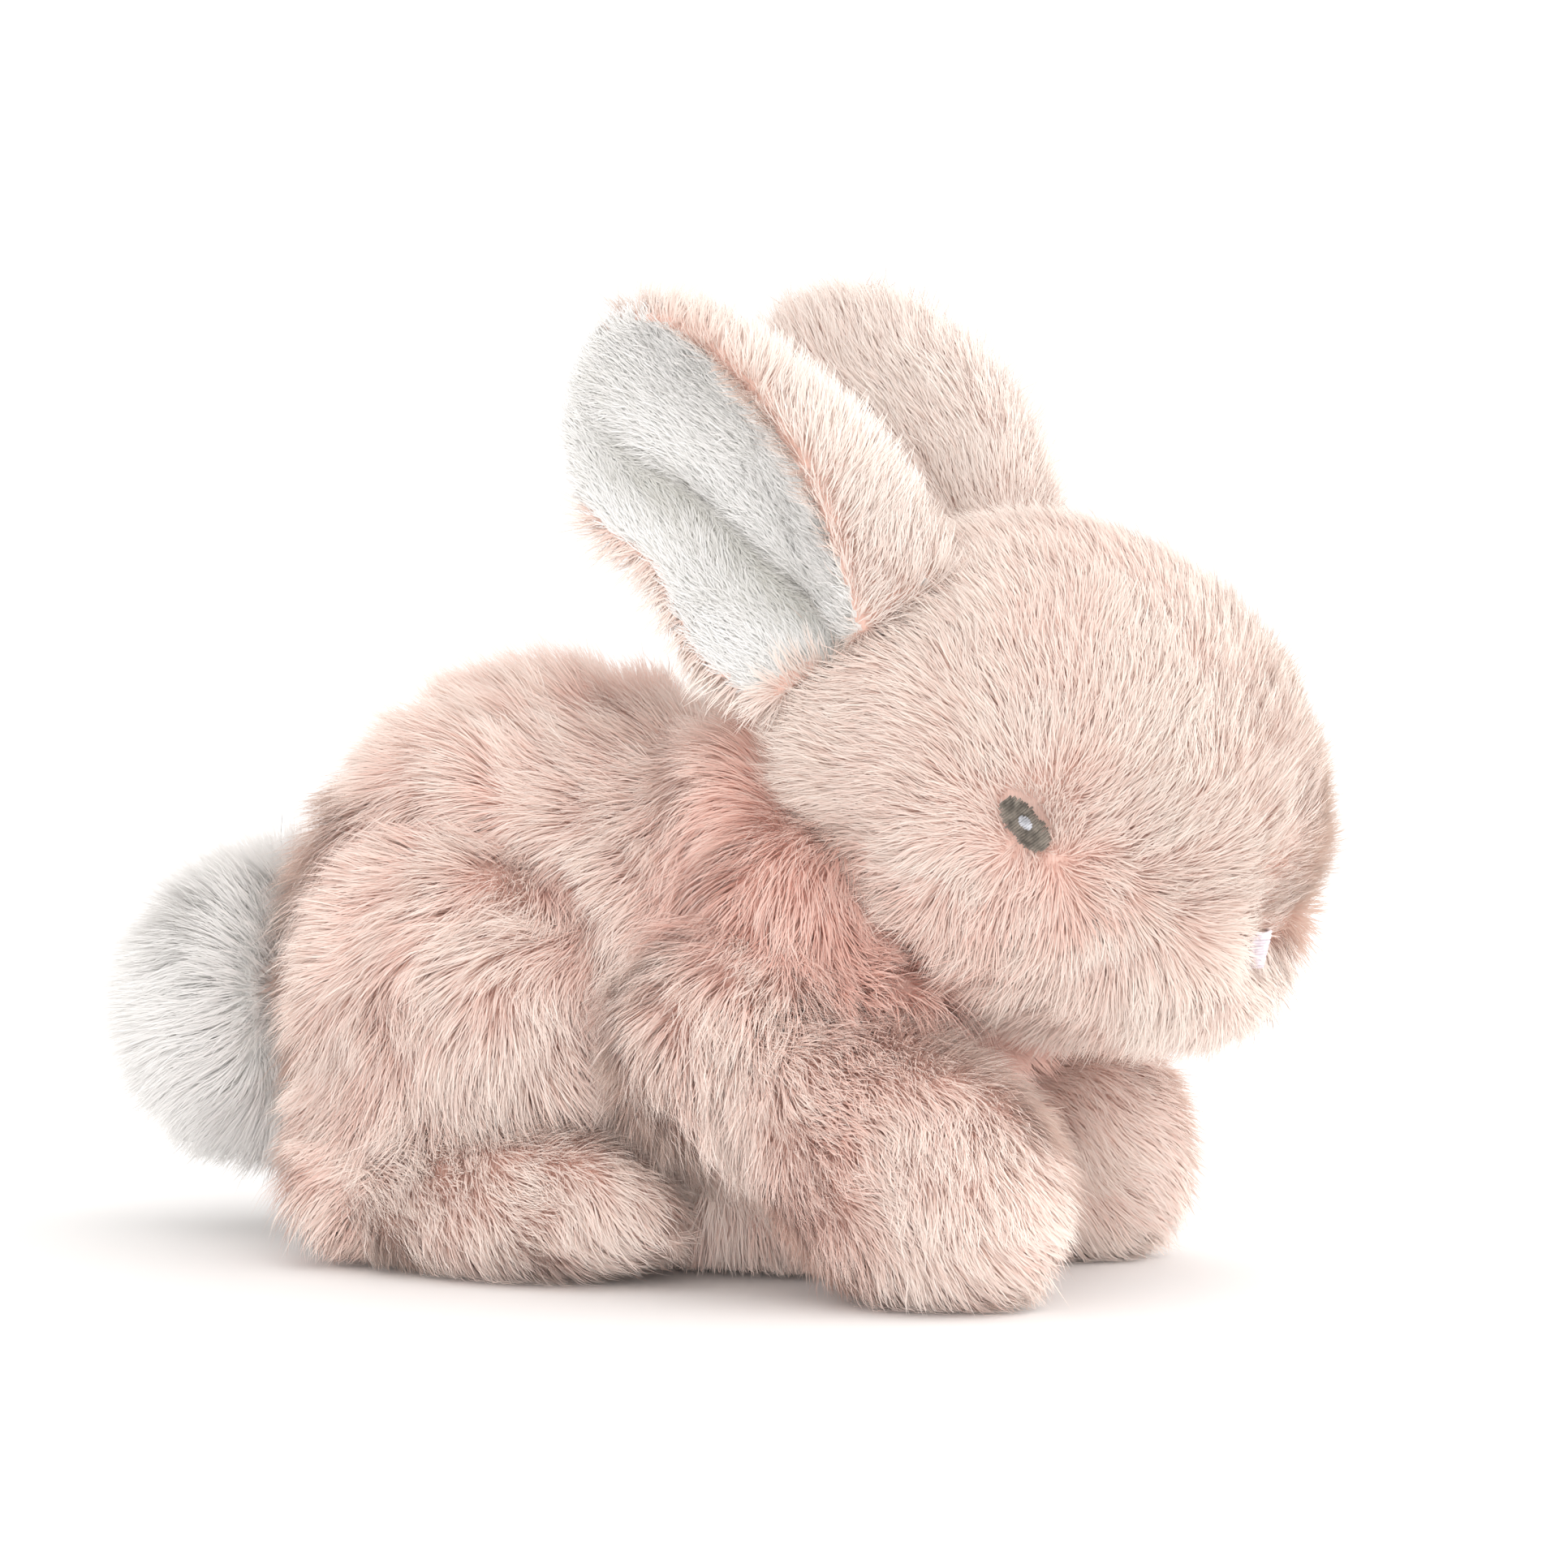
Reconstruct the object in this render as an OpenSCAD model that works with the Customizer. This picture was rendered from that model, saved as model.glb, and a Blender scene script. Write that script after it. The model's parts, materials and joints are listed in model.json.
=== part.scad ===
// Stuffed toy rabbit, lying on its belly with its head up. +X is the way it faces, +Y is its own
// left side and +Z is up. The origin is on the floor under the middle of the toy.
// The soft solids reach to the middle of the pile. Each moving part turns about its sewn root, and
// the space that it moves through is carved out of the part beside it.

/* [Torso] */
// Length of the rump
rump_length = 74; // [70:1:78]
// Width of the rump
rump_width = 68; // [64:1:72]
// Height of the back above the floor
back_height = 77.5; // [75:0.5:80]
// Length of the chest
chest_length = 60; // [56:1:64]
// Width of the chest
chest_width = 54; // [50:1:58]
// Height of the shoulders above the floor
shoulder_height = 68.5; // [66:0.5:70]
// Diameter of the rounded thigh on each flank
haunch_diameter = 52; // [48:1:54]
// Height above the floor of the seam round the belly
belly_seam_height = 13; // [11:1:16]

/* [Head] */
// Length of the skull from back to forehead
head_length = 77; // [74:1:80]
// Width of the head
head_width = 67; // [64:1:70]
// Height of the head
head_height = 69; // [66:1:72]
// Width of the muzzle
muzzle_width = 46; // [42:1:50]
// Width of the panel that runs over the top of the head
gusset_width = 24; // [20:1:28]
// Length of each embroidered eye
eye_length = 7.8; // [6.5:0.1:8.5]
// Width of the embroidered nose
nose_width = 8; // [6:0.5:10]

/* [Ears] */
// Length of each ear
ear_length = 50; // [48:1:53]
// Width of each ear
ear_width = 35; // [32:1:38]
// Depth of each cupped ear from rim to back
ear_depth = 16; // [14:1:18]

/* [Legs] */
// Length of each front paw
paw_length = 44; // [40:1:46]
// Width of each front paw
paw_width = 31; // [28:1:32]
// Height of each front paw
paw_height = 35; // [32:1:36]
// Length of each hind foot
foot_length = 51; // [46:1:54]
// Width of each hind foot
foot_width = 23; // [20:1:25]
// Height of each hind foot
foot_height = 19; // [17:1:21]

/* [Tail] */
// Diameter of the tail
tail_diameter = 41; // [38:1:44]

/* [Fabric] */
// Thickness of the long plush with its pile pressed
plush = 4.5; // [3.5:0.5:5.5]
// Thickness of the short white plush in the ears
lining = 2.5; // [2:0.5:3]
// Thickness of embroidery
stitch = 1.2; // [0.8:0.1:1.6]

/* [Movement] */
// Angle that the nose dips
nod_down = 3; // [1:1:3]
// Angle that the nose lifts
nod_up = 10; // [4:1:10]
// Angle that the head turns to each side
head_turn = 8; // [4:1:8]
// Angle that an ear droops outwards
ear_droop = 25; // [5:1:25]
// Angle that an ear leans inwards
ear_lean = 10; // [5:1:10]
// Angle that a front paw lifts
paw_lift = 5; // [2:1:5]
// Angle that a hind foot lifts
foot_lift = 10; // [4:1:10]
// Angle that the tail wags to each side
tail_wag = 12; // [4:1:12]
// Gap kept between parts that move past each other
gap = 1.3; // [1.2:0.1:1.5]

/* [Hidden] */

pink = "#e8c3b4";
white = "#f2efea";
wadding = "#fbfaf6";
thread = "#7d7268";
pale_thread = "#e3dbe0";

far = 300;   // larger than the whole toy
fine = 26;   // facets round a visible soft form
coarse = 18; // facets round a stuffing and round the space that a part sweeps

// Places of the soft forms, in the order forwards, left, up.
rump_at = [-25, 0, back_height / 2 - 1.5];
chest_at = [12, 0, shoulder_height / 2 - 1];
haunch_at = [-24, -23.5, 34];
head_at = [49, 0, 68];
muzzle_at = [67, 0, 54];
eye_at = [61, -20, 63.5];
nose_height = 46;
mouth_height = 42.5;
paw_at = [41.5, -25, 18];
foot_at = [-15, -27.5, 9.5];
tail_at = [-69, 0, 31.5];

// Where the moving parts are sewn on, which is what they turn about.
neck_pivot = [23, 0, 47];
shoulder_pivot = [20, -24, 30];
heel_pivot = [-34, -27, 12];
tail_pivot = [-62, 0, 32];
ear_pivot = [31, -23.5, 87];
// Right ear: the way from root to tip, the way across, and the way that its white lining faces.
ear_up = unit([-30, -7, 41]);
ear_across = unit(cross(ear_up, [-0.45, -0.89, 0]));
ear_out = cross(ear_across, ear_up);

neck_radius = 9;
shoulder_radius = 12;
heel_radius = 9;
ear_root_radius = 3;
tail_root_radius = 4;

function unit(v) = v / norm(v);

// Steps of an angle's range, ends included.
function steps(low, high, count) = [for (i = [0:count - 1]) low + (high - low) * i / (count - 1)];

// A matrix that turns X, Y and Z to three directions and moves the origin to a place.
function basis(x, y, z, at) = [for (i = [0:2]) [x[i], y[i], z[i], at[i]]];

// Facets for a surface: coarser under the cover than on it.
function facets(grow) = grow < 0 ? coarse : fine;

module ellipsoid(at, size, grow = 0, round = fine) {
    translate(at) scale(size / 2 + [grow, grow, grow]) sphere(r = 1, $fn = round);
}

module ball(at, radius, round = fine) {
    translate(at) sphere(r = radius, $fn = round);
}

// Hands the whole of a soft shape over as one mesh.
module one_mesh() {
    minkowski() children();
}

module turned(pivot, angle, axis) {
    translate(pivot) rotate(a = angle, v = axis) translate(-pivot) children();
}

module left() {
    mirror([0, 1, 0]) children();
}

module both() {
    children();
    left() children();
}

module above_floor(height = 0) {
    translate([-far / 2, -far / 2, height]) cube(far);
}

// Outer forms. "grow" moves their whole surface outwards, or inwards where it is negative.

module bean(grow = 0, round = fine) {
    hull() {
        ellipsoid(rump_at, [rump_length, rump_width, back_height + 3], grow, round);
        ellipsoid(chest_at, [chest_length, chest_width, shoulder_height + 2], grow, round);
    }
}

module skull(grow = 0, round = fine) {
    hull() {
        turned(head_at, 12, [0, 1, 0])
            ellipsoid(head_at, [head_length, head_width, head_height], grow, round);
        ellipsoid(muzzle_at, [44, muzzle_width, 39], grow, round);
    }
}

module paw(grow = 0, round = fine) {
    hull() {
        ball(shoulder_pivot, shoulder_radius + grow, round);
        turned(paw_at, 30, [0, 1, 0])
            ellipsoid(paw_at, [paw_length, paw_width, paw_height], grow, round);
    }
}

module foot(grow = 0, round = fine) {
    hull() {
        ball(heel_pivot, heel_radius + grow, round);
        ellipsoid(foot_at, [foot_length, foot_width, foot_height], grow, round);
    }
}

// The spaces that the moving parts need, all the way through their travel.

module head_space(grow) {
    hull() for (nod = steps(-nod_up, nod_down, 3), turn = steps(-head_turn, head_turn, 3))
        turned(neck_pivot, turn, [0, 0, 1]) turned(neck_pivot, nod, [0, 1, 0]) skull(grow, coarse);
    ball(neck_pivot, neck_radius + grow, coarse);
}

module paw_space(grow) {
    hull() for (lift = steps(-paw_lift, 0, 3))
        turned(shoulder_pivot, lift, [0, 1, 0]) paw(grow, coarse);
}

module foot_space(grow) {
    hull() for (lift = steps(-foot_lift, 0, 3))
        turned(heel_pivot, lift, [0, 1, 0]) foot(grow, coarse);
}

// The torso as it is stuffed, hollowed where the head, paws and feet lie against it.
module torso(inset = 0) {
    difference() {
        intersection() {
            bean(-inset, facets(-inset));
            above_floor(inset);
        }
        head_space(gap + inset);
        both() {
            paw_space(gap + inset);
            foot_space(gap + inset);
        }
        ball(tail_pivot, tail_root_radius + gap + inset, coarse);
    }
}

module torso_cover() {
    difference() {
        torso();
        torso(plush);
    }
}

module torso_side() {
    one_mesh() intersection() {
        torso_cover();
        translate([-far / 2, -far, belly_seam_height]) cube(far);
    }
}

module torso_side_right() {
    color(pink) torso_side();
}

module torso_side_left() {
    color(pink) left() torso_side();
}

module belly_panel() {
    color(pink) one_mesh() difference() {
        torso_cover();
        above_floor(belly_seam_height);
    }
}

module torso_stuffing() {
    color(wadding) one_mesh() torso(plush);
}

// A thigh: a round pad of plush and wadding that is sewn flat against the flank.
module haunch() {
    one_mesh() difference() {
        ellipsoid(haunch_at, [haunch_diameter, 27, haunch_diameter]);
        bean();
        foot_space(gap);
        paw_space(gap);
    }
}

module haunch_right() {
    color(pink) haunch();
}

module haunch_left() {
    color(pink) left() haunch();
}

module neck_stuffing() {
    color(wadding) one_mesh() ball(neck_pivot, neck_radius - 1.2);
}

// A cord of thread that gathers the neck opening, square to the line from chest to skull.
module neck_seam() {
    color(thread) one_mesh() difference() {
        translate(neck_pivot) rotate([0, 49, 0])
            rotate_extrude($fn = 24) translate([neck_radius - 1, 0]) circle(r = 0.9, $fn = 8);
        ball(neck_pivot, neck_radius - 1.2);
    }
}

// The head as it is stuffed, with the neck's socket and the grooves that hold the ears' roots.
module head(inset = 0) {
    difference() {
        skull(-inset, facets(-inset));
        ball(neck_pivot, neck_radius + gap + inset, coarse);
        both() ear_root(gap + inset);
    }
}

module head_cover() {
    difference() {
        head();
        head(plush);
        both() eye_patch(1, -stitch, 1);
        nose_patch(0.5, -stitch, 1);
        mouth_patch(0.5, -stitch, 1);
    }
}

// A slab the width of the panel over the head.
module middle() {
    cube([far, gusset_width, far], center = true);
}

module below_nose() {
    translate([-far / 2, -far / 2, mouth_height - far]) cube(far);
}

module head_side() {
    one_mesh() intersection() {
        head_cover();
        translate([-far / 2, -far - gusset_width / 2, -far / 2]) cube(far);
    }
}

module head_side_right() {
    color(pink) head_side();
}

module head_side_left() {
    color(pink) left() head_side();
}

module head_gusset() {
    color(pink) one_mesh() difference() {
        intersection() {
            head_cover();
            middle();
        }
        below_nose();
    }
}

module chin_panel() {
    color(pink) one_mesh() intersection() {
        head_cover();
        middle();
        below_nose();
    }
}

module head_stuffing() {
    color(wadding) one_mesh() head(plush);
}

// A layer of the head's surface between two depths, cut to the outline of its children.
module patch(from, to) {
    intersection() {
        difference() {
            skull(to);
            skull(from);
        }
        children();
    }
}

// The outline of the right eye, leaning back at the top, carried out through the cheek.
module eye_outline(size, margin = 0) {
    translate(eye_at) rotate([0, 0, -84]) rotate([0, 90, 0]) rotate([0, 0, 42])
        scale([size / 2 + margin, size * 0.34 + margin, 1]) cylinder(r = 1, h = 40, $fn = 24);
}

module eye_patch(margin, from, to) {
    patch(from, to) eye_outline(eye_length, margin);
}

module nose_patch(margin, from, to) {
    patch(from, to) translate([muzzle_at[0], 0, nose_height]) rotate([0, 90, 0])
        linear_extrude(40) offset(r = margin + 1, $fn = 12) offset(delta = -1)
            polygon([[-nose_width * 0.3, -nose_width / 2], [-nose_width * 0.3, nose_width / 2],
                [nose_width * 0.4, 0]]);
}

// One stitch down from the nose and one out to each side below it.
module mouth_patch(margin, from, to) {
    patch(from, to) translate([muzzle_at[0], 0, mouth_height]) rotate([0, 90, 0])
        linear_extrude(40) offset(delta = margin) {
            translate([-1, -0.5]) square([3.6, 1]);
            for (side = [-1, 1]) translate([2, 0]) rotate(side * 50) translate([0, -0.5])
                square([4.5, 1]);
        }
}

module eye() {
    one_mesh() difference() {
        eye_patch(0, -stitch, -0.1);
        eye_highlight();
    }
}

module eye_right() {
    color(thread) eye();
}

module eye_left() {
    color(thread) left() eye();
}

module eye_highlight() {
    one_mesh() patch(-0.6, 0.5) translate([0.8, 0, 0.7]) eye_outline(1.9);
}

module eye_highlight_right() {
    color(white) eye_highlight();
}

module eye_highlight_left() {
    color(white) left() eye_highlight();
}

module nose() {
    color(pale_thread) one_mesh() nose_patch(0, -stitch, 0);
}

module mouth() {
    color(pale_thread) one_mesh() mouth_patch(0, -stitch, 0);
}

// Places its children in the right ear's frame: X out of the lining, Y across, Z root to tip.
module in_ear() {
    multmatrix(basis(ear_out, ear_across, ear_up, ear_pivot)) children();
}

// The ear's rounded leaf, narrow at its root and open towards its lining.
module leaf(inset, round) {
    back = -ear_depth + 2;
    hull() for (open = [0, 2 * ear_depth]) translate([back + open, 0, 0]) {
        ball([9, 0, ear_length - 9], 9 - inset, round);
        for (side = [-1, 1], up = [0.3, 0.6])
            ball([10, side * (ear_width / 2 - 10), ear_length * up], 10 - inset, round);
        ball([9, 0, 2], 9 - inset, round);
    }
}

// A layer of the right ear, clear of the head through the ear's travel.
module ear_layer(outer, inner, rim) {
    difference() {
        in_ear() difference() {
            leaf(outer, outer > 0 ? coarse : fine);
            leaf(inner, coarse);
            translate([rim, -far / 2, -far / 2]) cube(far);
        }
        for (fold = steps(-ear_lean, ear_droop, 4))
            turned(ear_pivot, -fold, ear_across) skull(gap, coarse);
        ear_root(0);
    }
}

module ear_back() {
    one_mesh() ear_layer(0, plush, 2);
}

module ear_lining() {
    one_mesh() ear_layer(plush, plush + lining, 1);
}

// The gathered foot of the ear, sewn into the side seam of the head.
module ear_root(grow) {
    in_ear() rotate([90, 0, 0])
        cylinder(r = ear_root_radius + grow, h = 11 + 2 * grow, center = true, $fn = 12);
}

module ear_back_right() {
    color(pink) ear_back();
}

module ear_back_left() {
    color(pink) left() ear_back();
}

module ear_lining_right() {
    color(white) ear_lining();
}

module ear_lining_left() {
    color(white) left() ear_lining();
}

module ear_root_right() {
    color(pink) ear_root(0);
}

module ear_root_left() {
    color(pink) left() ear_root(0);
}

// The round mouth on a limb's inner side, where its cover is sewn on and its stuffing shows.
module mouth_of_limb(pivot, radius) {
    translate(pivot) rotate([-90, 0, 0]) cylinder(r = radius, h = 20, $fn = coarse);
}

module paw_mouth() {
    mouth_of_limb(shoulder_pivot, 7);
}

module foot_mouth() {
    mouth_of_limb(heel_pivot, 3.5);
}

module paw_cover() {
    one_mesh() intersection() {
        difference() {
            paw();
            paw(-plush, coarse);
            paw_mouth();
        }
        above_floor();
    }
}

module paw_stuffing() {
    one_mesh() {
        paw(-plush, coarse);
        intersection() {
            paw();
            paw_mouth();
        }
    }
}

module paw_cover_right() {
    color(pink) paw_cover();
}

module paw_cover_left() {
    color(pink) left() paw_cover();
}

module paw_stuffing_right() {
    color(wadding) paw_stuffing();
}

module paw_stuffing_left() {
    color(wadding) left() paw_stuffing();
}

module foot_cover() {
    one_mesh() intersection() {
        difference() {
            foot();
            foot(-plush, coarse);
            foot_mouth();
        }
        above_floor();
    }
}

module foot_stuffing() {
    one_mesh() {
        foot(-plush, coarse);
        intersection() {
            foot();
            foot_mouth();
        }
    }
}

module foot_cover_right() {
    color(pink) foot_cover();
}

module foot_cover_left() {
    color(pink) left() foot_cover();
}

module foot_stuffing_right() {
    color(wadding) foot_stuffing();
}

module foot_stuffing_left() {
    color(wadding) left() foot_stuffing();
}

// The tail's ball, hollowed to fit round the rump through its travel.
module tail(inset = 0) {
    difference() {
        ball(tail_at, tail_diameter / 2 - inset, facets(-inset));
        hull() for (wag = steps(-tail_wag, tail_wag, 3))
            turned(tail_pivot, wag, [0, 0, 1]) bean(gap + inset, coarse);
    }
}

module tail_cover() {
    color(white) one_mesh() difference() {
        tail();
        tail(plush);
        tail_root_ball();
        translate(tail_pivot) rotate([0, -90, 0])
            cylinder(r = tail_root_radius * 0.7, h = 9, $fn = 12);
    }
}

module tail_stuffing() {
    color(wadding) one_mesh() difference() {
        tail(plush);
        tail_root_ball();
    }
}

// The gathered knot that the tail hangs from, half in a dimple of the rump.
module tail_root_ball() {
    ball(tail_pivot, tail_root_radius, 12);
}

module tail_root() {
    color(thread) one_mesh() tail_root_ball();
}

torso_side_right();
torso_side_left();
belly_panel();
torso_stuffing();
haunch_right();
haunch_left();
neck_stuffing();
neck_seam();
head_side_right();
head_side_left();
head_gusset();
chin_panel();
head_stuffing();
eye_right();
eye_left();
eye_highlight_right();
eye_highlight_left();
nose();
mouth();
ear_back_right();
ear_lining_right();
ear_root_right();
ear_back_left();
ear_lining_left();
ear_root_left();
paw_cover_right();
paw_stuffing_right();
paw_cover_left();
paw_stuffing_left();
foot_cover_right();
foot_stuffing_right();
foot_cover_left();
foot_stuffing_left();
tail_cover();
tail_stuffing();
tail_root();
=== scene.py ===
"""The looks of a stuffed toy rabbit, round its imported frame.

Each body of the frame gets one padded skin. The ears' skins are folded leaves, and the others are
inflated from their CAD solids. Long pile stands on the skins, one piece for each panel of plush,
and the face is embroidered with separate threads. Lengths in this script are in millimetres until a
mesh is made.
"""
import json
import math

import bpy
import numpy as np
from mathutils import Matrix, Vector
from mathutils.kdtree import KDTree


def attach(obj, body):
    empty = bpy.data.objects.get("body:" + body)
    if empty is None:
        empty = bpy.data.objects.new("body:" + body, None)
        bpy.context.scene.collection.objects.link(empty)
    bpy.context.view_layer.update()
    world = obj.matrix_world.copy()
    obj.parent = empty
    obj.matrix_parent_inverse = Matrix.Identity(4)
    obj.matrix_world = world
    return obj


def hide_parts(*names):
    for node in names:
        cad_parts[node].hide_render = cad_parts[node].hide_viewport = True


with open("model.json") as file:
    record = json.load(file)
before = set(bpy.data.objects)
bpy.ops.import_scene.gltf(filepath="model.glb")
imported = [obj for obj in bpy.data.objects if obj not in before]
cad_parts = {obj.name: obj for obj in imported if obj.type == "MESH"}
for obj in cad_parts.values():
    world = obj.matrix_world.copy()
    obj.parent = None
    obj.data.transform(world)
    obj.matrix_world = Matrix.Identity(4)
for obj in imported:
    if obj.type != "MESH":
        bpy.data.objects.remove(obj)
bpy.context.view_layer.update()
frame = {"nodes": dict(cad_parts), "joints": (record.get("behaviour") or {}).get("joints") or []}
JOINTS = {joint["name"]: joint for joint in frame["joints"]}

MM = 0.001
UP = np.array([0.0, 0.0, 1.0])
FORWARD = np.array([1.0, 0.0, 0.0])
SIDES = {"right": -1.0, "left": 1.0}

# The camera: where it looks from, and how far away it is.
VIEW_AZIMUTH, VIEW_ELEVATION, VIEW_DISTANCE = math.radians(28), math.radians(4.5), 1000.0
VIEW_TARGET = np.array([11.5, 0.0, 65.0])
LENS, SENSOR = 170.5, 36.0

BACKING = 2.2     # how far the fabric lies under the CAD surface, which is in the middle of the pile
LIFT = 0.25       # the lowest that a fibre lies above the floor
FIBRE = 0.145     # width of a fibre's root


# ---------------------------------------------------------------- arrays and small helpers

def unit(v):
    """The direction of each vector, one unit long."""
    return v / np.maximum(np.linalg.norm(v, axis=-1, keepdims=True), 1e-9)


def along_surface(field, normals):
    """The part of each direction in field that lies in the surface."""
    return unit(field - normals * (field * normals).sum(-1, keepdims=True))


def smoothstep(low, high, x):
    """Rises smoothly from 0 at low to 1 at high. It falls where low is the larger."""
    t = np.clip((x - low) / (high - low), 0, 1)
    return t * t * (3 - 2 * t)


def ripples(scale, seed):
    """A few crossed waves about scale mm long: their directions and where they start."""
    rng = np.random.default_rng(seed)
    ways = unit(rng.normal(size=(6, 3))) * (2 * math.pi / scale) / rng.uniform(0.7, 1.5, (6, 1))
    return ways, rng.uniform(0, 2 * math.pi, 6)


def waves(points, scale, seed):
    """Smooth noise at each point, mostly between -1 and 1."""
    ways, starts = ripples(scale, seed)
    return np.sin(points @ ways.T + starts).sum(-1) / 3


def uphill(points, scale, seed):
    """Which way that noise rises at each point, in mm: about the way to its nearest ridge."""
    ways, starts = ripples(scale, seed)
    return np.cos(points @ ways.T + starts) @ ways * (scale / 2 / math.pi) ** 2 / 2


def cad_points(*nodes):
    """The vertices of CAD nodes, in mm."""
    found = []
    for node in nodes:
        mesh = frame["nodes"][node].data
        co = np.empty(len(mesh.vertices) * 3)
        mesh.vertices.foreach_get("co", co)
        found.append(co.reshape(-1, 3) / MM)
    return np.vstack(found)


def middle(*nodes):
    """The middle of the box round CAD nodes, in mm."""
    points = cad_points(*nodes)
    return (points.min(0) + points.max(0)) / 2


def new_object(name, points, faces):
    """A mesh object from points in mm and a list of faces."""
    mesh = bpy.data.meshes.new(name)
    mesh.from_pydata((np.asarray(points) * MM).tolist(), [], faces)
    mesh.update()
    made = bpy.data.objects.new(name, mesh)
    bpy.context.scene.collection.objects.link(made)
    return made


def get_points(obj):
    """A mesh's vertices, in mm."""
    co = np.empty(len(obj.data.vertices) * 3)
    obj.data.vertices.foreach_get("co", co)
    return co.reshape(-1, 3) / MM


def set_points(obj, points):
    """Moves a mesh's vertices to points in mm."""
    obj.data.vertices.foreach_set("co", (points * MM).ravel())
    obj.data.update()


def get_normals(obj):
    """The normals at a mesh's vertices."""
    normals = np.empty(len(obj.data.vertices) * 3)
    obj.data.vertices.foreach_get("normal", normals)
    return normals.reshape(-1, 3)


def apply_modifiers(obj):
    """Makes a mesh what its modifiers make of it, and removes them."""
    graph = bpy.context.evaluated_depsgraph_get()
    mesh = bpy.data.meshes.new_from_object(obj.evaluated_get(graph), depsgraph=graph)
    obj.modifiers.clear()
    obj.data = mesh


def smooth(obj, times):
    """Evens out a mesh and keeps its volume about the same."""
    edges = np.empty(len(obj.data.edges) * 2, np.int64)
    obj.data.edges.foreach_get("vertices", edges)
    a, b = edges.reshape(-1, 2).T
    points = get_points(obj)
    counts = np.bincount(a, minlength=len(points)) + np.bincount(b, minlength=len(points))
    for step in range(times * 2):
        total = np.zeros_like(points)
        np.add.at(total, a, points[b])
        np.add.at(total, b, points[a])
        share = 0.5 if step % 2 == 0 else -0.51
        points = points + share * (total / counts[:, None] - points)
    set_points(obj, points)


# ---------------------------------------------------------------- materials

def new_material(name):
    material = bpy.data.materials.new(name)
    material.use_nodes = True
    return material, material.node_tree.nodes, material.node_tree.links


def ramp(nodes, stops):
    made = nodes.new("ShaderNodeValToRGB")
    elements = made.color_ramp.elements
    while len(elements) < len(stops):
        elements.new(0.5)
    for element, (place, colour) in zip(elements, stops):
        element.position = place
        element.color = (*colour, 1)
    return made


def pile_material(name, deep, pale, sheen=0.35):
    """Plush fibres: deep and pale are each the colours at the root, the middle and the tip.
    The pile's UV map holds each fibre's tone, from deep to pale, and the place along it."""
    material, nodes, links = new_material(name)
    shader = nodes["Principled BSDF"]
    shader.inputs["Roughness"].default_value = 0.72
    shader.inputs["Specular IOR Level"].default_value = 0.25
    shader.inputs["Sheen Weight"].default_value = sheen
    shader.inputs["Sheen Roughness"].default_value = 0.45
    shader.inputs["Sheen Tint"].default_value = (1.0, 0.94, 0.90, 1)
    uv = nodes.new("ShaderNodeUVMap")
    uv.uv_map = "OFBake"
    split = nodes.new("ShaderNodeSeparateXYZ")
    links.new(uv.outputs["UV"], split.inputs["Vector"])
    mix = nodes.new("ShaderNodeMix")
    mix.data_type = "RGBA"
    links.new(split.outputs["X"], mix.inputs["Factor"])
    for colours, socket in ((deep, 6), (pale, 7)):
        tones = ramp(nodes, list(zip((0.0, 0.45, 1.0), colours)))
        links.new(split.outputs["Y"], tones.inputs["Fac"])
        links.new(tones.outputs["Color"], mix.inputs[socket])
    links.new(mix.outputs[2], shader.inputs["Base Color"])
    return material


def backing_material(name, dark, light):
    """The knitted backing that shows between fibres: mottled, rough and finely ribbed."""
    material, nodes, links = new_material(name)
    shader = nodes["Principled BSDF"]
    shader.inputs["Roughness"].default_value = 0.9
    shader.inputs["Sheen Weight"].default_value = 0.3
    place = nodes.new("ShaderNodeTexCoord")
    noise = nodes.new("ShaderNodeTexNoise")
    noise.inputs["Scale"].default_value = 260
    noise.inputs["Detail"].default_value = 4
    links.new(place.outputs["Object"], noise.inputs["Vector"])
    tones = ramp(nodes, [(0.3, dark), (0.7, light)])
    links.new(noise.outputs["Fac"], tones.inputs["Fac"])
    links.new(tones.outputs["Color"], shader.inputs["Base Color"])
    knit = nodes.new("ShaderNodeTexWave")
    knit.inputs["Scale"].default_value = 600
    knit.inputs["Distortion"].default_value = 2
    links.new(place.outputs["Object"], knit.inputs["Vector"])
    bump = nodes.new("ShaderNodeBump")
    bump.inputs["Strength"].default_value = 0.4
    bump.inputs["Distance"].default_value = 0.0002
    links.new(knit.outputs["Fac"], bump.inputs["Height"])
    links.new(bump.outputs["Normal"], shader.inputs["Normal"])
    return material


def thread_material(name, dark, light, sheen=0.2):
    """Twisted embroidery thread: tone varies from stitch to stitch and along each one."""
    material, nodes, links = new_material(name)
    shader = nodes["Principled BSDF"]
    shader.inputs["Roughness"].default_value = 0.55
    shader.inputs["Sheen Weight"].default_value = sheen
    place = nodes.new("ShaderNodeTexCoord")
    noise = nodes.new("ShaderNodeTexNoise")
    noise.inputs["Scale"].default_value = 900
    noise.inputs["Detail"].default_value = 3
    links.new(place.outputs["Object"], noise.inputs["Vector"])
    tones = ramp(nodes, [(0.35, dark), (0.65, light)])
    links.new(noise.outputs["Fac"], tones.inputs["Fac"])
    links.new(tones.outputs["Color"], shader.inputs["Base Color"])
    bump = nodes.new("ShaderNodeBump")
    bump.inputs["Strength"].default_value = 0.5
    bump.inputs["Distance"].default_value = 0.0001
    links.new(noise.outputs["Fac"], bump.inputs["Height"])
    links.new(bump.outputs["Normal"], shader.inputs["Normal"])
    return material


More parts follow.
